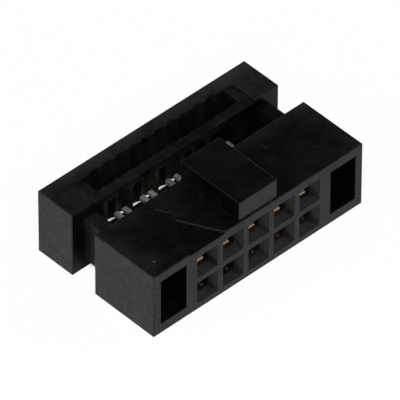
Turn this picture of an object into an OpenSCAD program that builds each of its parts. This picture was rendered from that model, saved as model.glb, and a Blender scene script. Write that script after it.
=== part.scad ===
// Ten-way ribbon-cable socket: a black housing with two rows of pin mouths, stamped contacts,
// and a cable clamp cover drawn in its open position. The key points up, the mating face to -Y.

/* [Pin grid] */
// Spacing of the contacts, along a row and from row to row
pitch = 2.54; // [2.4:0.02:2.8]
// Side of a square pin mouth on the mating face
mouth = 2.05; // [1.9:0.05:2.2]
// Side of the square hole that a mouth narrows to
pin_hole = 1.2; // [1.0:0.05:1.3]
// Depth over which a mouth narrows
lead_in = 0.6; // [0.4:0.05:0.8]
// Length of the straight hole behind the narrowing
hole_land = 0.2; // [0.1:0.05:0.4]

/* [Housing] */
// Depth from the mating face to the cable side
housing_depth = 6.24; // [5.8:0.02:7]
// Wall under the lower mouths
floor_wall = 0.58; // [0.5:0.02:0.9]
// Wall over the upper mouths
roof_wall = 0.74; // [0.6:0.02:1]
// Wall between the last mouth and an end pocket
pocket_inner_wall = 1.05; // [0.8:0.05:1.5]
// Width of an end pocket
pocket_width = 2.54; // [2.4:0.02:3]
// Height of an end pocket
pocket_height = 4.2; // [3.6:0.05:4.4]
// Wall under an end pocket
pocket_floor = 0.9; // [0.7:0.05:1.1]
// Wall outside an end pocket
end_wall = 0.7; // [0.5:0.05:1]
// Depth of an end pocket before it narrows to the latch entry
pocket_depth = 4.3; // [3.9:0.1:4.7]
// Radius of the moulded outer edges
edge_radius = 0.08; // [0.05:0.01:0.2]

/* [Key and arrow] */
// Width of the polarising key
key_width = 3.78; // [3:0.02:4.5]
// Height of the key above the housing
key_height = 1.8; // [1.2:0.1:2.2]
// How far the key stays behind the mating face
key_setback = 0.13; // [0.05:0.01:0.4]
// Width of the pin-one arrow at the mating face
arrow_width = 3.5; // [2:0.1:3.8]
// Length of the pin-one arrow
arrow_length = 3.3; // [2:0.1:5]
// Depth of the pin-one arrow
arrow_depth = 0.15; // [0.1:0.01:0.3]
// Slanted upper part of the arrow's walls
arrow_bevel = 0.08; // [0.04:0.01:0.09]

/* [Cover] */
// Open gap between the housing and the cover
cover_gap = 2.52; // [2.5:0.02:3.2]
// How far each end of the cover stays inside the housing's end
cover_inset = 0.12; // [0.05:0.01:0.3]
// Thickness of the comb in front of the cable slot
comb_wall = 0.89; // [0.7:0.01:1.1]
// Width of the cable slot between its crests
slot_width = 1.52; // [1.3:0.02:1.8]
// Thickness of the wall behind the cable slot
rear_wall = 1.25; // [0.9:0.05:1.6]
// Depth of the wire grooves in the slot's rear wall
groove_depth = 0.2; // [0.05:0.01:0.25]
// Depth of the wire grooves in the comb's rail
rail_groove = 0.08; // [0.04:0.01:0.2]
// Length of each full-height end block
end_block = 2.4; // [1.8:0.05:2.6]
// Length of the low ledge between an end block and the slot
ledge = 0.85; // [0.5:0.01:1]
// How much lower the comb and ledges are than the end blocks
comb_drop = 0.2; // [0.1:0.05:0.6]
// Height of the rail that the comb's teeth hang from
comb_rail = 0.6; // [0.3:0.05:0.8]
// Width of a comb tooth
tooth_width = 0.36; // [0.3:0.02:0.6]
// Room around the contact forks as the cover closes
fork_room = 0.1; // [0.08:0.01:0.15]

/* [Latch legs] */
// Thickness of a leg
leg_thickness = 1.15; // [0.9:0.05:1.3]
// Room between a leg and its entry
leg_room = 0.12; // [0.08:0.01:0.2]
// How far a leg lies outside the middle of its pocket
leg_offset = 0.15; // [0:0.01:0.2]
// How far the hook stands out from the leg
hook_reach = 0.45; // [0.3:0.05:0.5]
// Length of the hook
hook_length = 0.8; // [0.5:0.05:1]

/* [Contacts] */
// Thickness of the contact strip
metal = 0.25; // [0.2:0.01:0.3]
// Distance of a contact's base plate from the axis of its hole
base_offset = 0.525; // [0.48:0.005:0.56]
// Width of the contact's folded channel
channel_width = 1.1; // [1:0.02:1.3]
// Where the channel starts, from the mating face
channel_front = 3; // [2.6:0.1:3.2]
// Length of the channel
channel_length = 1.8; // [1.2:0.1:2]
// Width of the two spring beams
beam_width = 0.76; // [0.6:0.02:0.9]
// Opening between the two beams where they grip a pin
beam_grip = 0.4; // [0.3:0.05:0.5]
// How far the front beam opens again before its rolled tip
beam_flare = 0.06; // [0.02:0.02:0.12]
// Thickness of a beam at its tip
tip_metal = 0.18; // [0.12:0.02:0.2]
// Outer radius of the rolled tip that guides the pin in
tip_roll = 0.34; // [0.26:0.02:0.38]
// Length over which the strip steps sideways to its wire
jog_length = 0.6; // [0.4:0.05:0.8]
// Width of the cable fork
fork_width = 1.18; // [1.1:0.02:1.3]
// How far the fork stands out behind the housing
fork_reach = 2.36; // [2.2:0.02:2.44]
// Width of the fork's wire slot
fork_slot = 0.26; // [0.2:0.01:0.34]
// Length of the fork's wire slot with its mouth
fork_slot_length = 1.9; // [1.6:0.1:2]
// Width of the mouth between the fork's tips
fork_mouth = 0.38; // [0.36:0.01:0.5]
// Length of the straight part of that mouth
fork_mouth_length = 0.85; // [0.5:0.05:1]
// Length of the slanted lead-in from the mouth to the wire slot
fork_lead = 0.25; // [0.1:0.05:0.4]
// Room between a contact and its chamber
contact_room = 0.08; // [0.05:0.01:0.12]

/* [Hidden] */
$fn = 48;

columns = 5;
contacts = 2 * columns;
plastic = "#1c1d20";
plated = "#c9c3ae";
// A cut reaches this far past the face that it opens
cut = 0.5;
// A leg's root reaches this far into the cover
root = 0.3;

// Housing
grid_length = (columns - 1) * pitch + mouth;
housing_length = grid_length + 2 * (pocket_inner_wall + pocket_width + end_wall);
housing_height = floor_wall + mouth + pitch + roof_wall;
lower_row = floor_wall + mouth / 2;
upper_row = lower_row + pitch;
pocket_x = housing_length / 2 - end_wall - pocket_width / 2;
pocket_z = pocket_floor + pocket_height / 2;

// Contacts, about the axis of their hole
wire_pitch = pitch / 2;
fork_shift = -wire_pitch / 2;
chamber_front = lead_in + hole_land;
chamber_half_width = channel_width / 2 + contact_room;
chamber_half_height = base_offset + metal / 2 + contact_room;
channel_rear = channel_front + channel_length;
fork_tip = housing_depth + fork_reach;
fork_start = channel_rear + jog_length;
lower_fork = lower_row + base_offset;
upper_fork = upper_row - base_offset;

// Cover, in its open position
cover_length = housing_length - 2 * cover_inset;
cover_front = housing_depth + cover_gap;
cover_depth = comb_wall + slot_width + rear_wall;
slot_front = cover_front + comb_wall;
slot_rear = slot_front + slot_width;
block_x = cover_length / 2 - end_block;
slot_x = block_x - ledge;
rail_bottom = housing_height - comb_drop - comb_rail;
sill_top = lower_fork - metal / 2 - fork_room;
tooth_bottom = (lower_fork + upper_fork) / 2 - metal / 2;
leg_x = pocket_x + leg_offset;
leg_height = pocket_height - 2 * leg_room;
leg_end = pocket_depth - leg_room - hook_length;
overall_depth = cover_front + cover_depth;

// Place of column c, counted from 0 at the pin-one end
function column_x(c) = (c - (columns - 1) / 2) * pitch;

// Shapes are drawn with y = 0 on the mating face; the part's origin is under its middle
module in_frame() {
    translate([0, -overall_depth / 2, 0]) children();
}

// A profile in (x, z), carried along y
module along_y(from, to) {
    translate([0, to, 0]) rotate([90, 0, 0]) linear_extrude(to - from) children();
}

// A profile in (y, z), carried along x to both sides
module along_x(length) {
    rotate([90, 0, 90]) linear_extrude(length, center = true) children();
}

// A profile in (x, y), carried along z
module along_z(from, to) {
    translate([0, 0, from]) linear_extrude(to - from) children();
}

// A box from one corner to the other
module box(low, high) {
    translate(low) cube(high - low);
}

// Both ends of the part, the second one mirrored
module both_ends() {
    for (side = [0, 1]) mirror([side, 0, 0]) children();
}

module rounded_rectangle(low, high, r) {
    translate(low + [r, 0]) square(high - low - [2 * r, 0]);
    translate(low + [0, r]) square(high - low - [0, 2 * r]);
    for (x = [low.x + r, high.x - r], y = [low.y + r, high.y - r]) translate([x, y]) circle(r);
}

// A moulded box whose twelve edges are rounded
module moulded_box(low, high, r) {
    intersection() {
        along_z(low.z, high.z) rounded_rectangle([low.x, low.y], [high.x, high.y], r);
        along_y(low.y, high.y) rounded_rectangle([low.x, low.z], [high.x, high.z], r);
        translate([(low.x + high.x) / 2, 0, 0])
            along_x(high.x - low.x) rounded_rectangle([low.y, low.z], [high.y, high.z], r);
    }
}

// Outline of a mouth in depth: straight past the face, narrowing, then the straight hole
module mouth_profile(end) {
    slope = (mouth - pin_hole) / 2 / lead_in;
    outer = mouth / 2 + slope * cut;
    inner = pin_hole / 2;
    polygon([[-outer, -cut], [outer, -cut], [inner, lead_in], [inner, end], [-inner, end], [-inner, lead_in]]);
}

// Square funnel: where the same outline seen from above and from the side meet
module pin_mouth() {
    end = chamber_front + cut;
    intersection() {
        along_z(-pitch / 2, pitch / 2) mouth_profile(end);
        along_x(pitch) rotate(-90) mirror([1, 0]) mouth_profile(end);
    }
}

// Room for one contact, open to the cable side, with the step for its fork
module contact_chamber() {
    end = housing_depth + cut;
    fork_half = fork_width / 2 + contact_room;
    box([-chamber_half_width, chamber_front, -chamber_half_height],
        [chamber_half_width, end, chamber_half_height]);
    box([fork_shift - fork_half, channel_rear - contact_room, -chamber_half_height],
        [fork_shift + fork_half, end, -base_offset + metal / 2 + contact_room]);
}

// Puts a shape at contact n; the lower row is the upper one turned half round about y
module at_contact(n) {
    upper = n % 2 == 1;
    translate([column_x(floor((n - 1) / 2)), 0, upper ? upper_row : lower_row])
        rotate([0, upper ? 0 : 180, 0]) children();
}

// Pocket that is wide at the mating face and narrows to the latch entry
module end_pocket() {
    entry = leg_thickness / 2 + leg_room;
    box([pocket_x - pocket_width / 2, -cut, pocket_floor],
        [pocket_x + pocket_width / 2, pocket_depth, pocket_floor + pocket_height]);
    box([leg_x - entry, 0, pocket_floor],
        [leg_x + entry, housing_depth + cut, pocket_floor + pocket_height]);
}

// Everything to the left of the arrow's right wall, which is upright below and slanted above
module arrow_side() {
    half = arrow_width / 2;
    wall = norm([half, arrow_length]);
    translate([half, 0, housing_height]) rotate(atan2(half, arrow_length)) along_y(-wall, 2 * wall)
        polygon([[-wall, -arrow_depth], [0, -arrow_depth], [0, -arrow_bevel], [cut, cut - arrow_bevel],
                 [-wall, cut - arrow_bevel]]);
}

// Arrow sunk into the top face, its base on the mating edge at the first column
module pin_one_arrow() {
    translate([column_x(0), 0, 0]) intersection() {
        arrow_side();
        mirror([1, 0, 0]) arrow_side();
    }
}

module housing() {
    half = housing_length / 2;
    key_root = housing_height - key_height / 2;
    color(plastic) in_frame() difference() {
        union() {
            moulded_box([-half, 0, 0], [half, housing_depth, housing_height], edge_radius);
            moulded_box([-key_width / 2, key_setback, key_root],
                        [key_width / 2, housing_depth, housing_height + key_height], edge_radius);
        }
        for (n = [1 : contacts]) at_contact(n) {
            pin_mouth();
            contact_chamber();
        }
        both_ends() end_pocket();
        pin_one_arrow();
    }
}

// A row of wire grooves: round valleys that meet in crests, crests on y = 0, valleys to one side
module groove_row(side, depth) {
    radius = (pow(wire_pitch / 2, 2) + pow(depth, 2)) / (2 * depth);
    for (w = [0 : contacts - 1])
        translate([(w - (contacts - 1) / 2) * wire_pitch, side * (depth - radius)]) circle(radius);
}

// Cable slot: grooves all the way down its rear wall, and shallow ones in the rail of the comb
module cable_slot() {
    bottom = -cut;
    top = housing_height + cut;
    box([-slot_x, slot_front, bottom], [slot_x, slot_rear, top]);
    along_z(bottom, top) intersection() {
        translate([0, slot_rear]) groove_row(1, groove_depth);
        translate([-slot_x, slot_front]) square([2 * slot_x, cover_depth]);
    }
    along_z(rail_bottom, top) intersection() {
        translate([0, slot_front]) groove_row(-1, rail_groove);
        translate([-slot_x, cover_front]) square([2 * slot_x, comb_wall + slot_width]);
    }
}

// Windows of the comb: one for each upper fork between two teeth, and one below all teeth
module comb_windows() {
    tooth_half = tooth_width / 2;
    first = column_x(0) + fork_shift - wire_pitch;
    rear = slot_front + cut;
    for (c = [0 : columns]) {
        left = first + c * pitch + tooth_half;
        right = c < columns ? left + pitch - tooth_width : slot_x;
        box([left, cover_front - cut, tooth_bottom], [right, rear, rail_bottom]);
    }
    box([first + tooth_half, cover_front - cut, sill_top], [slot_x, rear, tooth_bottom]);
}

// Steps that leave the comb and ledges lower than the end blocks, on top and underneath
module comb_steps() {
    box([-block_x, cover_front - cut, housing_height - comb_drop], [block_x, slot_rear, housing_height + cut]);
    box([-block_x, cover_front - cut, -cut], [block_x, slot_rear, comb_drop]);
}

// Leg that slides in an end pocket; its hook keeps the open cover from falling off
module latch_leg() {
    inner = leg_x - leg_thickness / 2;
    outer = leg_x + leg_thickness / 2;
    hook = outer + hook_reach;
    slant = hook_length / 2;
    along_z(pocket_z - leg_height / 2, pocket_z + leg_height / 2)
        polygon([[inner, leg_end], [outer, leg_end], [hook, leg_end + slant], [hook, leg_end + hook_length],
                 [outer, leg_end + hook_length], [outer, cover_front + root], [inner, cover_front + root]]);
}

module cover() {
    half = cover_length / 2;
    color(plastic) in_frame() {
        difference() {
            moulded_box([-half, cover_front, 0], [half, cover_front + cover_depth, housing_height], edge_radius);
            cable_slot();
            comb_windows();
            comb_steps();
        }
        both_ends() latch_leg();
    }
}

// Flat plate from the channel to the fork; the wire slot widens through a slanted lead-in to its mouth
module fork_plate() {
    half = fork_width / 2;
    channel_half = channel_width / 2;
    slot_half = fork_slot / 2;
    mouth_half = fork_mouth / 2;
    slot_end = fork_tip - fork_slot_length;
    mouth_end = fork_tip - fork_mouth_length;
    difference() {
        polygon([[-channel_half, channel_front], [channel_half, channel_front], [channel_half, channel_rear],
                 [fork_shift + half, fork_start], [fork_shift + half, fork_tip],
                 [fork_shift - half, fork_tip], [fork_shift - half, fork_start], [-channel_half, channel_rear]]);
        translate([fork_shift, slot_end]) circle(slot_half);
        translate([fork_shift, 0])
            polygon([[-slot_half, slot_end], [slot_half, slot_end], [slot_half, mouth_end - fork_lead],
                     [mouth_half, mouth_end], [mouth_half, fork_tip + cut], [-mouth_half, fork_tip + cut],
                     [-mouth_half, mouth_end], [-slot_half, mouth_end - fork_lead]]);
    }
}

// Spring beam in (y, z), below the axis; its tip is rolled down in a quarter turn
module beam_profile(tip, flare) {
    grip = -beam_grip / 2;
    grip_y = (chamber_front + channel_front) / 2 - metal;
    base = -base_offset;
    roll_y = tip + tip_roll;
    roll_top = grip - flare;
    polygon([[channel_front + metal, base - metal / 2], [channel_front + metal, base + metal / 2],
             [channel_front, base + metal / 2], [grip_y, grip], [roll_y, roll_top],
             [roll_y, roll_top - tip_metal], [grip_y, grip - metal], [channel_front, base - metal / 2]]);
    translate([roll_y, roll_top - tip_roll]) intersection() {
        difference() {
            circle(tip_roll);
            circle(tip_roll - tip_metal);
        }
        translate([-tip_roll, 0]) square(tip_roll);
    }
}

// One stamped strip: fork, folded channel and two beams that face each other
module contact(n) {
    tip = chamber_front + contact_room;
    base = -base_offset - metal / 2;
    wall = channel_width / 2;
    color(plated) in_frame() at_contact(n) {
        along_z(base, base + metal) fork_plate();
        box([wall - metal, channel_front, base], [wall, channel_rear, -base]);
        box([-wall, channel_front, -base - metal], [wall, channel_rear, -base]);
        along_x(beam_width) beam_profile(tip, beam_flare);
        mirror([0, 0, 1]) along_x(beam_width) beam_profile(tip + metal, 0);
    }
}

housing();
cover();
for (n = [1 : contacts]) contact(n);
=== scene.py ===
import math

import bpy
import numpy as np
from mathutils import Matrix, Vector


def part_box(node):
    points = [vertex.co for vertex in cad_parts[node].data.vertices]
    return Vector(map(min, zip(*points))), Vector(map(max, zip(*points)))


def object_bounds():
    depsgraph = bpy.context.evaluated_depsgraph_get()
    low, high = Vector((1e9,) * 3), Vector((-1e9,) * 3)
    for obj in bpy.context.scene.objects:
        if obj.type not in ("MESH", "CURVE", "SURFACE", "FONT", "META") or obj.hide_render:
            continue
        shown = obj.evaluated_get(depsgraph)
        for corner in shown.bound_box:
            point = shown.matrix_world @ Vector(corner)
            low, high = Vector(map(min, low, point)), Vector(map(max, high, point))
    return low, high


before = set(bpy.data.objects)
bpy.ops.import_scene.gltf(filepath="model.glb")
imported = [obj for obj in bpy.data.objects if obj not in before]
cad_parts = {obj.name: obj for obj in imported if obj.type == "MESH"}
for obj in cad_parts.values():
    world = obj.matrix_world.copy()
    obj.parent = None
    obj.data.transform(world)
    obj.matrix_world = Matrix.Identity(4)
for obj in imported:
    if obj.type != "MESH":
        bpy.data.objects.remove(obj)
cad_low, cad_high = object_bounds()

MM = 0.001
WHITE = (1.0, 1.0, 1.0)

# The pieces of the socket, and the corners of their boxes.
HOUSING = "housing"
COVER = "cover"
CONTACTS = sorted(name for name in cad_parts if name.startswith("contact_"))
HOUSING_LOW, HOUSING_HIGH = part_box(HOUSING)
COVER_LOW, COVER_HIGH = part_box(COVER)
CONTACT_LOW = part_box(CONTACTS[0])[0]

# Places on the housing. Its top face is level with the cover's, and the key stands on it.
TOP = COVER_HIGH.z
KEY_TOP = HOUSING_HIGH.z
PITCH = 2.54 * MM
COLUMNS_FROM_MIDDLE = range(-2, 3)
HOLES_HALF_LENGTH = 6.1 * MM
HOLES_BOTTOM = 0.5 * MM
HOLES_TOP = TOP - 0.6 * MM
HOLE_FLOOR = 0.875 * MM
FUNNEL_START = HOUSING_LOW.y + 0.05 * MM
FUNNEL_END = HOUSING_LOW.y + 0.6 * MM

# Places on the cover: its legs, the comb with its rail, and the cable slot.
LEG_ROOT = COVER_HIGH.y - 3.66 * MM
RAIL_TOP = TOP - 0.2 * MM
RAIL_BOTTOM = RAIL_TOP - 0.6 * MM
COMB_BOTTOM = TOP / 2 - 0.5 * MM
SLOT_REAR = COVER_HIGH.y - 1.25 * MM
SLOT_FRONT = SLOT_REAR - 1.52 * MM
GROOVE_END = SLOT_REAR + 0.25 * MM
SLOT_HALF_LENGTH = 7.03 * MM

# The camera stands in front, to the left and above, and looks down along the two rows.
VIEW_AZIMUTH = math.radians(-43.349)
VIEW_ELEVATION = math.radians(43.088)
VIEW_ROLL = math.radians(0.196)
VIEW_DISTANCE = 645.6 * MM
FRAME_PIXELS = 400
FOCAL_PIXELS = 8889.0
TARGET = Vector((0.0, HOUSING_LOW.y + 6.0 * MM, 3.0 * MM))
TARGET_PIXEL = (201.97, 198.32)
SENSOR_WIDTH = 36.0
CLIP_NEAR = 0.01
CLIP_FAR = 10.0

# Shared skin: grain and clouds, each by its noise's detail and roughness, then specks and scratches.
GRAIN_NOISE = (3.0, 0.6)
CLOUD_NOISE = (4.0, 0.62)
CLOUD_RANGE = (0.32, 0.68)
SPECKS_PER_CLOUD = 2.0
SPECK_EDGE = (0.08, 0.02)
STROKE_EDGE = (1.0, 0.2)

# Finish of the black mouldings: polished inside and on top of the housing, eroded on the other outer faces.
# A pair that ends up in level() is the least share and what a full mask adds to it.
RESIN_BLACK = (0.0014, 0.0014, 0.0019)
RESIN_LEAST = 0.1
HOUSING_FINISH = {
    "polish": 0.32,
    "specular": 0.175,
    "bloom": (0.16, 0.48),
    "side_bloom": 0.5,
    "bloom_grey": (0.020, 0.020, 0.020),
}
COVER_FINISH = {
    "polish": 0.36,
    "specular": 0.10,
    "bloom": (0.36, 0.30),
    "side_bloom": 0.24,
    "bloom_grey": (0.040, 0.040, 0.040),
}
MARK_GRAIN = 0.16 * MM
MARK_CLOUD = 2.2 * MM
PATCH_CLOUD = 0.5 * MM
SKIN_DEPTH = 0.1 * MM
BLOOM_CLOUDS = (0.84, 0.3)
ERODED_ROUGHNESS = 0.44
ROUGHNESS_CLOUDS = (-0.04, 0.08)
GRAIN_HEIGHT = (0.1, 0.6)
PATCH_HEIGHT = 0.4
MOULDING_BUMP = {"Strength": 0.35, "Distance": 0.04 * MM}
EDGE_ROUNDING = (0.015 * MM, 0.07 * MM)
EDGE_SAMPLES = 6

# Casts on the black mouldings, and how much of a cast grain and clouds let through. The casts are haze,
# painted reflections of the contacts and painted light.
# Grey of the haze on both mouldings; in the cable slot the same grey is painted light.
HAZE_AND_PAINTED_LIGHT_GREY = (0.021, 0.021, 0.022)
# Painted reflection: warm brown on the pin hole walls, standing for light from the gold contacts.
HOLE_PAINTED_REFLECTION_BROWN = (0.026, 0.0145, 0.0070)
# Painted light: a lighter grey on the funnel walls that softens their shade.
FUNNEL_PAINTED_LIGHT_GREY = (0.0125, 0.0125, 0.0125)
# Painted reflection: dull olive on the comb, standing for light from the tin forks.
COMB_PAINTED_REFLECTION_OLIVE = (0.023, 0.023, 0.016)
POWDER_RANGE = (0.35, 0.65)
POWDER_SHARE = (0.4, 1.6)
CAST_CLOUDS = (0.2, 0.4)
FACE_CORE = 0.02 * MM
FACE_FADE = 0.1 * MM

# Haze on the housing: where it comes up on the top face, and its strength. The thin haze is left out beside
# the key, which paints the key's shade there.
LEFT_HAZE_START = -7.5 * MM
LEFT_HAZE = 0.45
RIGHT_HAZE_START = 8.3 * MM
RIGHT_HAZE = 1.0
REAR_HAZE_WIDTH = 1.5 * MM
REAR_HAZE = 0.3
# Painted shade of the key: no thin haze where |x| is below the first value, full thin haze past the second.
KEY_SHADE_FADE = (2.4 * MM, 4.5 * MM)
THIN_HAZE = 0.1
KEY_HAZE = 0.08

# Haze on the cover, in the same way, and painted light down the walls of its cable slot.
COVER_REAR_WIDTH = 1.3 * MM
COVER_REAR_HAZE = (0.1, 1.7)
COVER_RIGHT_RISE = (5.0 * MM, COVER_HIGH.x - 1.0 * MM)
COVER_RIGHT_HAZE = 0.75
LEG_FADE = 0.2 * MM
LEG_HAZE = (0.6, 0.15)
RAIL_HAZE = 0.5
RAIL_FADE = 0.08 * MM
SLOT_FADE = 0.05 * MM
# Painted light in the cable slot: where it comes up below the top lip, and its strength.
SLOT_PAINTED_LIGHT_RISE = (TOP - 0.02 * MM, TOP - 0.06 * MM)
SLOT_PAINTED_LIGHT = 0.18

# Painted reflections of the contacts on the plastic near them, and the reach of the painted light on the
# funnel walls.
COMB_SLANT = 1.2
COMB_CAST_RISE = (-0.6 * MM, 0.3 * MM)
COMB_CAST_FADE = 0.3 * MM
COMB_END_FADE = 0.2 * MM
COMB_CAST_STOP = (3.5 * MM, 0.0)
HOLES_FADE = 0.1 * MM
FUNNEL_START_FADE = 0.03 * MM
FUNNEL_END_FADE = 0.05 * MM

# Scuffs, specks, and the painted glints in the lower pin holes: pale spots on the hole floors that stand
# for the gleam of the gold contact tips.
# Pale grey of the specks and scuffing, and of the painted glints in the pin holes.
SCUFF_AND_GLINT_GREY = (0.10, 0.10, 0.11)
SPECK_STRENGTH = 0.15
GLINT_ASIDE = 0.33 * MM
GLINT_DEPTH = 1.02 * MM
GLINT_LENGTH = 0.04 * MM
GLINT_HALF_WIDTH = 0.15 * MM
GLINT_STRENGTH = 0.7

# Finish of the contacts.
TIN = (0.74, 0.72, 0.66)
GOLD = (0.46, 0.34, 0.235)
TIN_ROUGHNESS = 0.52
GOLD_ROUGHNESS = 0.27
GOLD_METALLIC = 0.85
GOLD_END = CONTACT_LOW.y + 2.6 * MM
GOLD_FADE = 0.5 * MM
STRIP_GRAIN = 0.22 * MM
STRIP_CLOUD = 1.2 * MM
STRIP_SHADE = (0.32, 0.3)
STRIP_GRAIN_HEIGHT = 0.4
STRIP_BUMP = {"Strength": 0.3, "Distance": 0.01 * MM}
STREAKS_PER_METRE = (9000.0, 500.0, 9000.0)
STREAK_DETAIL = 2.0
STREAK_SHADE = 0.9
STREAK_ROUGHNESS = (-0.1, 0.2)

# Floor, world and lamps.
FLOOR_HALF = 3.0
FLOOR_WHITE = 0.94
FLOOR_PALE = (0.86, 0.86, 0.86)
SHADE_EDGE = 0.5 * MM
SHADE_REACH = 6.0 * MM
UNDER_SHADE = 0.6
UNDER_INSET = 1.6 * MM
UNDER_REAR_INSET = 0.5 * MM
HORIZON_WHITE = 1.0
HORIZON_TOP = (0.03, 0.20)
CEILING_GREY = 0.08
LAMP_AIM = Vector((0.0, 0.0, 0.0))

FLOAT = "NodeSocketFloat"
VECTOR = "NodeSocketVector"


def fill(tree, socket, value):
    """Fills an input: with a link from an output, with a colour of three parts, or with a plain value."""
    if isinstance(value, bpy.types.NodeSocket):
        tree.links.new(value, socket)
    elif socket.type == "RGBA":
        socket.default_value = (*value, 1.0)
    else:
        socket.default_value = value


def put(tree, kind, inputs=None, **settings):
    """Adds a node to the tree, sets its properties, then fills its inputs."""
    node = tree.nodes.new(kind)
    for name, value in settings.items():
        setattr(node, name, value)
    for key, value in (inputs or {}).items():
        fill(tree, node.inputs[key], value)
    return node


def maths(tree, operation, *values, clamp=False):
    """One Math node; each value is a number or a socket."""
    node = put(tree, "ShaderNodeMath", dict(enumerate(values)), operation=operation, use_clamp=clamp)
    return node.outputs[0]


def chain(tree, operation, first, *others):
    """One operation of two values, carried on over all the values."""
    result = first
    for other in others:
        result = maths(tree, operation, result, other)
    return result


def level(tree, mask, least, more):
    """The least value where a mask is 0, with more added to it where the mask is 1."""
    return maths(tree, "MULTIPLY_ADD", mask, more, least)


def vector_maths(tree, operation, *values):
    """One Vector Math node; the result is its vector, or its value where the operation gives a number."""
    node = put(tree, "ShaderNodeVectorMath", dict(enumerate(values)), operation=operation)
    return node.outputs["Value" if operation in ("DOT_PRODUCT", "DISTANCE") else "Vector"]


def times(tree, vector, factor):
    """A vector or a colour times a factor."""
    node = put(tree, "ShaderNodeVectorMath", {0: vector, "Scale": factor}, operation="SCALE")
    return node.outputs["Vector"]


def split(tree, vector):
    """The X, Y and Z of a vector."""
    return put(tree, "ShaderNodeSeparateXYZ", {0: vector}).outputs


def object_point(tree):
    """The point of the surface in Object coordinates."""
    return put(tree, "ShaderNodeTexCoord").outputs["Object"]


def ramp(tree, value, low, high, start=0.0, end=1.0):
    """Smooth step of a value from low to high, given out between start and end."""
    node = put(
        tree,
        "ShaderNodeMapRange",
        {"Value": value, "From Min": low, "From Max": high, "To Min": start, "To Max": end},
        interpolation_type="SMOOTHSTEP",
    )
    return node.outputs["Result"]


def distance(tree, value, place_at):
    """How far a value is from a place, on either side."""
    return maths(tree, "ABSOLUTE", maths(tree, "SUBTRACT", value, place_at))


def within(tree, value, low, high, fade):
    """1 from low to high, falling to 0 over the fade outside them."""
    rise = ramp(tree, value, low - fade, low)
    fall = ramp(tree, value, high + fade, high)
    return maths(tree, "MULTIPLY", rise, fall)


def on_face(tree, value, place_at, strength=1.0, fade=FACE_FADE):
    """The strength on a flat face that stands at a place of one axis, falling to 0 close to it."""
    return ramp(tree, distance(tree, value, place_at), fade, FACE_CORE, 0.0, strength)


def mix_colour(tree, factor, first, second):
    """Blends two colours by a factor."""
    node = put(tree, "ShaderNodeMix", data_type="RGBA")
    sockets = [socket for socket in node.inputs if socket.enabled]
    for socket, value in zip(sockets, (factor, first, second)):
        fill(tree, socket, value)
    return next(socket for socket in node.outputs if socket.enabled)


def noise(tree, point, scale, detail, roughness=0.5):
    """Fractal noise between 0 and 1 at a point."""
    node = put(
        tree,
        "ShaderNodeTexNoise",
        {"Vector": point, "Scale": scale, "Detail": detail, "Roughness": roughness},
    )
    return node.outputs["Fac"]


def inside_depth(tree, point, low, high):
    """How far a point lies inside a box: half its size minus the distance from its middle, and of that the
    least over X, Y and Z."""
    middle = (low + high) / 2
    half = (high - low) / 2
    away = vector_maths(tree, "ABSOLUTE", vector_maths(tree, "SUBTRACT", point, middle))
    room = split(tree, vector_maths(tree, "SUBTRACT", half, away))
    return chain(tree, "MINIMUM", room["X"], room["Y"], room["Z"])


def new_group(name, inputs, outputs):
    """An empty shader node group with named sockets: its tree, what it is given and what it puts out."""
    tree = bpy.data.node_groups.new(name, "ShaderNodeTree")
    for label, kind in inputs.items():
        tree.interface.new_socket(label, in_out="INPUT", socket_type=kind)
    for label in outputs:
        tree.interface.new_socket(label, in_out="OUTPUT", socket_type=FLOAT)
    given = tree.nodes.new("NodeGroupInput").outputs
    out = tree.nodes.new("NodeGroupOutput").inputs
    return tree, given, out


def place(tree, group, **inputs):
    """Places a node group in a material with its own values; underscores stand for spaces in the names."""
    values = {label.replace("_", " "): value for label, value in inputs.items()}
    return put(tree, "ShaderNodeGroup", values, node_tree=group).outputs


def skin_group():
    """Skin of a surface: fine grain, broad clouds and a few tiny specks."""
    inputs = {"Point": VECTOR, "Grain Size": FLOAT, "Cloud Size": FLOAT}
    tree, given, out = new_group("skin", inputs, ("Grain", "Cloud", "Speck"))
    grain_rate = maths(tree, "DIVIDE", 1.0, given["Grain Size"])
    cloud_rate = maths(tree, "DIVIDE", 1.0, given["Cloud Size"])
    speck_rate = maths(tree, "MULTIPLY", cloud_rate, SPECKS_PER_CLOUD)
    cloud = noise(tree, given["Point"], cloud_rate, *CLOUD_NOISE)
    cell = put(tree, "ShaderNodeTexVoronoi", {"Vector": given["Point"], "Scale": speck_rate})
    fill(tree, out["Grain"], noise(tree, given["Point"], grain_rate, *GRAIN_NOISE))
    fill(tree, out["Cloud"], ramp(tree, cloud, *CLOUD_RANGE))
    fill(tree, out["Speck"], ramp(tree, cell.outputs["Distance"], *SPECK_EDGE))
    return tree


def stroke_group():
    """Mask of one stroke, used for the scratches and for the painted glints: 1 along the stretch between
    two points, fading to 0 at its half width.
    """
    inputs = {"Point": VECTOR, "From": VECTOR, "To": VECTOR, "Half Width": FLOAT}
    tree, given, out = new_group("stroke", inputs, ("Mask",))
    along = vector_maths(tree, "SUBTRACT", given["To"], given["From"])
    reach = vector_maths(tree, "SUBTRACT", given["Point"], given["From"])
    covered = vector_maths(tree, "DOT_PRODUCT", reach, along)
    whole = vector_maths(tree, "DOT_PRODUCT", along, along)
    share = maths(tree, "DIVIDE", covered, whole, clamp=True)
    away = vector_maths(tree, "DISTANCE", reach, times(tree, along, share))
    edge = maths(tree, "DIVIDE", away, given["Half Width"])
    fill(tree, out["Mask"], ramp(tree, edge, *STROKE_EDGE))
    return tree


def new_material(name):
    """An empty node material: the material, its tree and the Surface socket of its output."""
    material = bpy.data.materials.new(name)
    material.use_nodes = True
    tree = material.node_tree
    tree.nodes.clear()
    output = tree.nodes.new("ShaderNodeOutputMaterial")
    return material, tree, output.inputs["Surface"]


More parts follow.
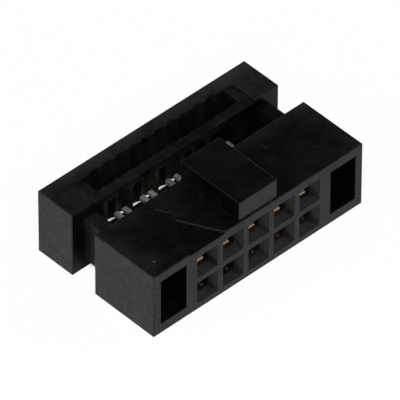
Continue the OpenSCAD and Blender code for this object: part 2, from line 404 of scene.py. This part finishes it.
def scuff_and_glint_mask(tree, point, stroke, scuffs_and_glints):
    """The strongest of several strokes, each given by its two ends, half width and strength: scratches, and
    the painted glints in the pin holes.
    """
    mask = 0.0
    for start, stop, half_width, strength in scuffs_and_glints:
        one = place(tree, stroke, Point=point, From=start, To=stop, Half_Width=half_width)["Mask"]
        mask = maths(tree, "MAXIMUM", mask, maths(tree, "MULTIPLY", one, strength))
    return mask


def end_bloom(tree, point, low, high, side_share):
    """Share of bloom: 1 on the two end faces of a box and less on its other faces."""
    away = distance(tree, split(tree, point)["X"], (low.x + high.x) / 2)
    end = (high.x - low.x) / 2
    return ramp(tree, away, end - SKIN_DEPTH, end - SKIN_DEPTH / 2, side_share, 1.0)


def housing_haze_and_key_shade(tree, point):
    """Haze on the housing: thin over the top face, and left out beside the key as painted shade of the key;
    thicker towards its two ends and its rear edge, and faint on the key."""
    parts = split(tree, point)
    left = ramp(tree, parts["X"], LEFT_HAZE_START, HOUSING_LOW.x, 0.0, LEFT_HAZE)
    right = ramp(tree, parts["X"], RIGHT_HAZE_START, HOUSING_HIGH.x, 0.0, RIGHT_HAZE)
    rear = ramp(tree, parts["Y"], HOUSING_HIGH.y - REAR_HAZE_WIDTH, HOUSING_HIGH.y, 0.0, REAR_HAZE)
    # Thin haze, kept off a band on each side of the key: painted shade of the key.
    thin = ramp(tree, maths(tree, "ABSOLUTE", parts["X"]), *KEY_SHADE_FADE, 0.0, THIN_HAZE)
    spread = chain(tree, "ADD", left, right, rear, thin)
    top = maths(tree, "MULTIPLY", spread, on_face(tree, parts["Z"], TOP))
    return maths(tree, "ADD", top, on_face(tree, parts["Z"], KEY_TOP, KEY_HAZE))


def slot_painted_light(tree, parts):
    """Painted light down the walls of the cable slot: a faint lighter grey below its top lip that stands
    for light reaching into the slot.
    """
    across = within(tree, parts["Y"], SLOT_FRONT, GROOVE_END, SLOT_FADE)
    reach = SLOT_HALF_LENGTH - FACE_CORE
    along = within(tree, parts["X"], -reach, reach, 2 * FACE_CORE)
    down = ramp(tree, parts["Z"], *SLOT_PAINTED_LIGHT_RISE, 0.0, SLOT_PAINTED_LIGHT)
    return chain(tree, "MULTIPLY", across, along, down)


def cover_haze_and_slot_light(tree, point):
    """Haze on the cover: thin on its top face and thicker towards the rear edge and the right end, on its
    legs and its rail; and painted light in its cable slot."""
    parts = split(tree, point)
    rear = ramp(tree, parts["Y"], COVER_HIGH.y - COVER_REAR_WIDTH, COVER_HIGH.y, *COVER_REAR_HAZE)
    right = ramp(tree, parts["X"], *COVER_RIGHT_RISE, 0.0, COVER_RIGHT_HAZE)
    top = maths(tree, "MULTIPLY", maths(tree, "ADD", rear, right), on_face(tree, parts["Z"], TOP))
    leg_side = ramp(tree, parts["X"], COVER_LOW.x, COVER_HIGH.x, *LEG_HAZE)
    legs = maths(tree, "MULTIPLY", leg_side, ramp(tree, parts["Y"], LEG_ROOT, LEG_ROOT - LEG_FADE))
    rail = on_face(tree, parts["Z"], RAIL_TOP, RAIL_HAZE, RAIL_FADE)
    return chain(tree, "MAXIMUM", top, legs, rail, slot_painted_light(tree, parts))


def comb_painted_reflection(tree, point):
    """Painted reflection of the tin forks: a dull warm olive on the left half of the comb, on its teeth,
    and behind them below a plane that slants down to the rear."""
    parts = split(tree, point)
    behind = maths(tree, "MAXIMUM", maths(tree, "SUBTRACT", parts["Y"], SLOT_FRONT), 0.0)
    plane = maths(tree, "MULTIPLY_ADD", behind, -COMB_SLANT, RAIL_BOTTOM)
    below = ramp(tree, maths(tree, "SUBTRACT", plane, parts["Z"]), *COMB_CAST_RISE)
    above = ramp(tree, parts["Z"], COMB_BOTTOM - COMB_CAST_FADE, COMB_BOTTOM)
    start = ramp(tree, parts["X"], -SLOT_HALF_LENGTH - COMB_END_FADE, -SLOT_HALF_LENGTH)
    stop = ramp(tree, parts["X"], *COMB_CAST_STOP)
    return chain(tree, "MULTIPLY", below, above, start, stop)


def among_holes(tree, parts):
    """1 in the block of plastic that the two rows of pin holes run through, 0 on the faces round it."""
    across = within(tree, parts["X"], -HOLES_HALF_LENGTH, HOLES_HALF_LENGTH, HOLES_FADE)
    up = within(tree, parts["Z"], HOLES_BOTTOM, HOLES_TOP, HOLES_FADE)
    return maths(tree, "MULTIPLY", across, up)


def hole_painted_gold_reflection(tree, point):
    """Painted reflection of the gold contacts: a warm brown on the walls of the pin holes, from the end of
    the funnels inwards.
    """
    parts = split(tree, point)
    depth = ramp(tree, parts["Y"], FUNNEL_END - HOLES_FADE, FUNNEL_END + HOLES_FADE)
    return maths(tree, "MULTIPLY", depth, among_holes(tree, parts))


def funnel_painted_light(tree, point):
    """Painted light on the slanted walls of the funnels: a lighter grey that softens the shade in them."""
    parts = split(tree, point)
    start = ramp(tree, parts["Y"], FUNNEL_START - FUNNEL_START_FADE, FUNNEL_START + FUNNEL_START_FADE)
    stop = ramp(tree, parts["Y"], FUNNEL_END + FUNNEL_END_FADE, FUNNEL_END - FUNNEL_END_FADE)
    return chain(tree, "MULTIPLY", start, stop, among_holes(tree, parts))


def moulding(name, box, groups, casts, scuffs_and_glints, polish, specular, bloom, side_bloom, bloom_grey):
    """Black moulding: polished resin inside, an eroded skin with pale bloom on the faces of its box, and
    casts, specks, scuffing and painted glints over both. The casts are haze, kept off beside the key as
    painted shade, painted reflections and painted light."""
    skin, stroke = groups
    material, tree, surface = new_material(name)
    point = object_point(tree)
    marks = place(tree, skin, Point=point, Grain_Size=MARK_GRAIN, Cloud_Size=MARK_CLOUD)
    patches = place(tree, skin, Point=point, Grain_Size=MARK_GRAIN, Cloud_Size=PATCH_CLOUD)["Cloud"]
    eroded = ramp(tree, inside_depth(tree, point, *box), SKIN_DEPTH, SKIN_DEPTH / 2)
    # Scuffing, and the painted glints in the pin holes.
    scuff_and_glint = scuff_and_glint_mask(tree, point, stroke, scuffs_and_glints)

    base = times(tree, RESIN_BLACK, chain(tree, "ADD", marks["Cloud"], patches, RESIN_LEAST))
    pale = maths(tree, "MULTIPLY", level(tree, patches, *bloom), level(tree, marks["Cloud"], *BLOOM_CLOUDS))
    pale = chain(tree, "MULTIPLY", pale, eroded, end_bloom(tree, point, *box, side_bloom))
    base = mix_colour(tree, pale, base, bloom_grey)
    powder = ramp(tree, marks["Grain"], *POWDER_RANGE, *POWDER_SHARE)
    cast_share = maths(tree, "MULTIPLY", powder, level(tree, marks["Cloud"], *CAST_CLOUDS))
    # Each cast mixes in its colour by its own mask: haze, painted light or a painted reflection.
    for cast_at, colour in casts:
        base = mix_colour(tree, maths(tree, "MULTIPLY", cast_at(tree, point), cast_share), base, colour)
    base = mix_colour(tree, maths(tree, "MULTIPLY", marks["Speck"], SPECK_STRENGTH), base, SCUFF_AND_GLINT_GREY)
    base = mix_colour(tree, scuff_and_glint, base, SCUFF_AND_GLINT_GREY)

    gloss = level(tree, eroded, polish, ERODED_ROUGHNESS - polish)
    rough = maths(tree, "ADD", gloss, level(tree, marks["Cloud"], *ROUGHNESS_CLOUDS))
    grain = maths(tree, "MULTIPLY", marks["Grain"], level(tree, eroded, *GRAIN_HEIGHT))
    uneven = chain(tree, "MULTIPLY", patches, eroded, PATCH_HEIGHT)
    height = maths(tree, "SUBTRACT", maths(tree, "ADD", grain, uneven), scuff_and_glint)
    rounding = level(tree, patches, *EDGE_ROUNDING)
    soft_edge = put(tree, "ShaderNodeBevel", {"Radius": rounding}, samples=EDGE_SAMPLES)
    relief = {"Height": height, "Normal": soft_edge.outputs["Normal"], **MOULDING_BUMP}
    bump = put(tree, "ShaderNodeBump", relief)
    shader = put(
        tree,
        "ShaderNodeBsdfPrincipled",
        {
            "Base Color": base,
            "Roughness": rough,
            "Normal": bump.outputs["Normal"],
            "Specular IOR Level": specular,
        },
    )
    fill(tree, surface, shader.outputs["BSDF"])
    return material


def plated_strip(skin):
    """Stamped strip: bright gold over the pin end, matt tin over the fork, and rolling streaks along it."""
    material, tree, surface = new_material("plated_strip")
    point = object_point(tree)
    marks = place(tree, skin, Point=point, Grain_Size=STRIP_GRAIN, Cloud_Size=STRIP_CLOUD)
    stretched = put(tree, "ShaderNodeMapping", {"Vector": point, "Scale": STREAKS_PER_METRE})
    streak = noise(tree, stretched.outputs["Vector"], 1.0, STREAK_DETAIL)
    gold_side = ramp(tree, split(tree, point)["Y"], GOLD_END + GOLD_FADE, GOLD_END - GOLD_FADE)

    shade = level(tree, marks["Cloud"], *STRIP_SHADE)
    shade = maths(tree, "MULTIPLY_ADD", streak, STREAK_SHADE, shade)
    base = times(tree, mix_colour(tree, gold_side, TIN, GOLD), shade)
    rough = level(tree, gold_side, TIN_ROUGHNESS, GOLD_ROUGHNESS - TIN_ROUGHNESS)
    rough = maths(tree, "ADD", rough, level(tree, streak, *STREAK_ROUGHNESS))
    metallic = level(tree, gold_side, 1.0, GOLD_METALLIC - 1.0)
    height = maths(tree, "MULTIPLY_ADD", marks["Grain"], STRIP_GRAIN_HEIGHT, streak)
    bump = put(tree, "ShaderNodeBump", {"Height": height, **STRIP_BUMP})
    shader = put(
        tree,
        "ShaderNodeBsdfPrincipled",
        {"Base Color": base, "Metallic": metallic, "Roughness": rough, "Normal": bump.outputs["Normal"]},
    )
    fill(tree, surface, shader.outputs["BSDF"])
    return material


def white_floor():
    """Floor that is white to the camera, apart from a shade right under the socket, and white in
    reflections outside a wider shade, which reaches to the right and the rear; clear from below."""
    material, tree, surface = new_material("white_floor")
    path = put(tree, "ShaderNodeLightPath").outputs
    parts = split(tree, object_point(tree))
    shade = 1.0
    under = UNDER_SHADE
    for axis, near, far, far_inset in zip("XY", cad_low, cad_high, (UNDER_INSET, UNDER_REAR_INSET)):
        start = ramp(tree, parts[axis], near, near + SHADE_EDGE)
        stop = ramp(tree, parts[axis], far + SHADE_REACH, far)
        shade = chain(tree, "MULTIPLY", shade, start, stop)
        inner_near = near + UNDER_INSET + SHADE_EDGE
        inner_far = far - far_inset - SHADE_EDGE
        under = maths(tree, "MULTIPLY", under, within(tree, parts[axis], inner_near, inner_far, SHADE_EDGE))
    reflected = maths(tree, "MAXIMUM", path["Is Glossy Ray"], path["Is Transmission Ray"])
    mirrored = maths(tree, "MULTIPLY", reflected, maths(tree, "SUBTRACT", 1.0, shade))
    direct = maths(tree, "MULTIPLY", path["Is Camera Ray"], maths(tree, "SUBTRACT", 1.0, under))
    share = maths(tree, "MULTIPLY", maths(tree, "MAXIMUM", direct, mirrored), FLOOR_WHITE)

    pale = put(tree, "ShaderNodeBsdfDiffuse", {"Color": FLOOR_PALE}).outputs["BSDF"]
    white = put(tree, "ShaderNodeEmission", {"Color": WHITE, "Strength": 1.0}).outputs["Emission"]
    clear = put(tree, "ShaderNodeBsdfTransparent").outputs["BSDF"]
    top = put(tree, "ShaderNodeMixShader", {0: share, 1: pale, 2: white}).outputs[0]
    below = put(tree, "ShaderNodeNewGeometry").outputs["Backfacing"]
    both = put(tree, "ShaderNodeMixShader", {0: below, 1: top, 2: clear}).outputs[0]
    fill(tree, surface, both)
    return material


def dress(node, material):
    """Gives a CAD node its finish."""
    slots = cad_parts[node].data.materials
    slots.clear()
    slots.append(material)


def make_floor():
    """Flat square of the plane z = 0, as a grid of two steps each way."""
    side = np.linspace(-FLOOR_HALF, FLOOR_HALF, 3)
    x, y = np.meshgrid(side, side)
    points = np.stack([x.ravel(), y.ravel(), np.zeros(x.size)], axis=1)
    index = np.arange(x.size).reshape(x.shape)
    corners = [index[:-1, :-1], index[:-1, 1:], index[1:, 1:], index[1:, :-1]]
    faces = np.stack(corners, axis=-1).reshape(-1, 4)
    mesh = bpy.data.meshes.new("floor")
    mesh.from_pydata(points.tolist(), [], faces.tolist())
    mesh.materials.append(white_floor())
    floor = bpy.data.objects.new("floor", mesh)
    bpy.context.scene.collection.objects.link(floor)


def make_world():
    """White sweep round the horizon, and a dim ceiling above it."""
    world = bpy.data.worlds.new("studio")
    bpy.context.scene.world = world
    world.use_nodes = True
    tree = world.node_tree
    tree.nodes.clear()
    direction = put(tree, "ShaderNodeTexCoord").outputs["Generated"]
    brightness = ramp(tree, split(tree, direction)["Z"], *HORIZON_TOP, HORIZON_WHITE, CEILING_GREY)
    back = put(tree, "ShaderNodeBackground", {"Color": WHITE, "Strength": brightness})
    output = tree.nodes.new("ShaderNodeOutputWorld")
    fill(tree, output.inputs["Surface"], back.outputs["Background"])


def soft_box(name, place_at, size, power):
    """Square soft lamp at a place, turned to the socket."""
    lamp = bpy.data.lights.new(name, "AREA")
    lamp.shape = "SQUARE"
    lamp.size = size
    lamp.energy = power
    holder = bpy.data.objects.new(name, lamp)
    holder.location = place_at
    holder.rotation_mode = "QUATERNION"
    holder.rotation_quaternion = (LAMP_AIM - Vector(place_at)).to_track_quat("-Z", "Y")
    bpy.context.scene.collection.objects.link(holder)


def make_camera():
    """Camera on a sphere round the target, by azimuth and elevation, then rolled about its own axis and
    moved aside until the target falls on its pixel."""
    data = bpy.data.cameras.new("camera")
    data.sensor_width = SENSOR_WIDTH
    data.lens = SENSOR_WIDTH * FOCAL_PIXELS / FRAME_PIXELS
    data.clip_start = CLIP_NEAR
    data.clip_end = CLIP_FAR
    flat = math.cos(VIEW_ELEVATION)
    right = Vector((math.cos(VIEW_AZIMUTH), math.sin(VIEW_AZIMUTH), 0.0))
    back = Vector((math.sin(VIEW_AZIMUTH) * flat, -math.cos(VIEW_AZIMUTH) * flat, math.sin(VIEW_ELEVATION)))
    up = back.cross(right)
    rolled_right = right * math.cos(VIEW_ROLL) + up * math.sin(VIEW_ROLL)
    rolled_up = up * math.cos(VIEW_ROLL) - right * math.sin(VIEW_ROLL)
    turn = Matrix((rolled_right, rolled_up, back)).transposed()
    camera = bpy.data.objects.new("camera", data)
    camera.rotation_mode = "QUATERNION"
    camera.rotation_quaternion = turn.to_quaternion()
    pixel = VIEW_DISTANCE / FOCAL_PIXELS
    aside = (TARGET_PIXEL[0] - FRAME_PIXELS / 2) * pixel
    above = (FRAME_PIXELS / 2 - TARGET_PIXEL[1]) * pixel
    camera.location = TARGET - rolled_right * aside - rolled_up * above + back * VIEW_DISTANCE
    bpy.context.scene.collection.objects.link(camera)
    bpy.context.scene.camera = camera


def top_mark(start, stop, half_width, strength):
    """Scuffing on the housing's top face: its two ends and half width in millimetres, and its strength."""
    first = Vector((*start, 0.0)) * MM
    last = Vector((*stop, 0.0)) * MM
    rise = Vector((0.0, 0.0, TOP))
    return first + rise, last + rise, half_width * MM, strength


def hole_painted_glint(column):
    """A painted glint on the floor of a lower pin hole: a pale spot that stands for the gleam of the gold
    contact tip; the columns are counted from the middle one.
    """
    start = Vector((column * PITCH + GLINT_ASIDE, HOUSING_LOW.y + GLINT_DEPTH, HOLE_FLOOR))
    stop = start + Vector((GLINT_LENGTH, GLINT_LENGTH, 0.0))
    return start, stop, GLINT_HALF_WIDTH, GLINT_STRENGTH


# Finishes. The housing's box reaches far above the key, so that its top face isn't eroded.
housing_box = (HOUSING_LOW, Vector((HOUSING_HIGH.x, HOUSING_HIGH.y, 2 * HOUSING_HIGH.z)))
# Casts on the housing: haze with painted shade beside the key, a painted reflection of the gold in the pin
# holes, and painted light on the funnel walls.
housing_casts = [(housing_haze_and_key_shade, HAZE_AND_PAINTED_LIGHT_GREY), (hole_painted_gold_reflection, HOLE_PAINTED_REFLECTION_BROWN), (funnel_painted_light, FUNNEL_PAINTED_LIGHT_GREY)]
housing_scuffs_and_glints = [
    top_mark((-5.38, -1.09), (-4.95, -1.85), 0.11, 0.14),
    top_mark((-4.79, -1.94), (-4.67, -2.60), 0.18, 0.035),
    top_mark((4.85, -1.29), (5.07, -1.79), 0.10, 0.10),
    top_mark((-9.20, -4.96), (-9.18, -4.98), 0.14, 0.40),
    # Painted glints: pale spots on the floors of the lower pin holes, standing for the gleam of the gold
    # tips.
    *(hole_painted_glint(column) for column in COLUMNS_FROM_MIDDLE),
]
cover_box = (COVER_LOW, COVER_HIGH)
# Casts on the cover: haze with painted light in the cable slot, and a painted reflection of the forks on
# the comb.
cover_casts = [(cover_haze_and_slot_light, HAZE_AND_PAINTED_LIGHT_GREY), (comb_painted_reflection, COMB_PAINTED_REFLECTION_OLIVE)]
skin = skin_group()
groups = (skin, stroke_group())
housing_marks = (housing_casts, housing_scuffs_and_glints)
housing_black = moulding("housing_moulding", housing_box, groups, *housing_marks, **HOUSING_FINISH)
cover_black = moulding("cover_moulding", cover_box, groups, cover_casts, [], **COVER_FINISH)
strip = plated_strip(skin)
dress(HOUSING, housing_black)
dress(COVER, cover_black)
for contact in CONTACTS:
    dress(contact, strip)

# Stage: floor, world, lamps by name, place, size and power, and the camera.
make_floor()
make_world()
soft_box("overhead", (-0.5, -0.7, 1.1), 0.8, 22.0)
soft_box("side", (0.9, -0.5, 0.7), 0.6, 1.5)
soft_box("left", (-0.92, 0.24, 0.72), 0.8, 3.6)
make_camera()
bpy.context.scene.view_settings.view_transform = "Standard"
